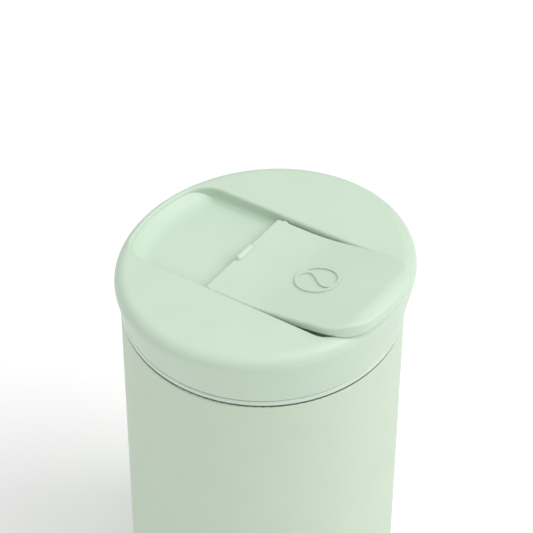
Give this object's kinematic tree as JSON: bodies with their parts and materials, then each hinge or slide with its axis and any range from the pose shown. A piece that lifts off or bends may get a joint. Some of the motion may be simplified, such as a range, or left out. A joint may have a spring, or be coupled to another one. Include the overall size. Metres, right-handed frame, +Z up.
{
  "type": "insulated travel mug",
  "caption": "Straight steel travel mug with double vacuum wall and a slanted press-in lid whose hinged flap closes the drinking hole.",
  "frame": {"origin": "centre of the mug's base on its axis, on the surface that it stands on", "axes": "+Z up along the mug's axis, +X towards the drinking side, where the slanted lid is highest, +Y to the left of a person looking towards +X"},
  "size_m": [0.0884, 0.0882, 0.1551],
  "materials": {
    "powder_coat": "matte",
    "lid_plastic": "matte",
    "plug_plastic": "satin",
    "base_plastic": "matte",
    "steel": "satin",
    "foil": "satin",
    "seal_glass": "gloss",
    "getter_metal": "matte",
    "foam": "matte",
    "silicone": "matte",
    "pad_rubber": "matte"
  },
  "bodies": {
    "mug_body": {"outer_shell": "powder_coat", "inner_liner": "steel", "radiation_foil": "foil", "outer_base": "steel", "vacuum_bead": "seal_glass", "getter_clip": "steel", "getter_pellet": "getter_metal", "base_cover": "base_plastic", "foot_pad": "pad_rubber"},
    "gasket": {"main_gasket": "silicone"},
    "lid": {"lid_cap": "lid_plastic", "lid_core": "plug_plastic", "duct_tubes": "plug_plastic", "lid_foam": "foam", "duct_seal": "silicone", "vent_seal": "silicone", "hinge_pin_right": "steel", "hinge_pin_left": "steel"},
    "flap_body": {"flap": "lid_plastic", "flap_plate": "plug_plastic", "flap_stopper": "silicone", "vent_stopper": "silicone"}
  },
  "joints": [
    {"name": "lid_lift", "type": "slide", "parent": "mug_body", "child": "gasket", "axis": [0, 0, 1], "range_m": [0, 0.05]},
    {"name": "lid_turn", "type": "hinge", "parent": "gasket", "child": "lid", "pos_m": [0, 0, 0.1285], "axis": [0, 0, 1], "continuous": true},
    {"name": "flap_hinge", "type": "hinge", "parent": "lid", "child": "flap_body", "pos_m": [-0.00484, 0, 0.14319], "axis": [0, -1, 0], "range_deg": [0, 160]}
  ]
}
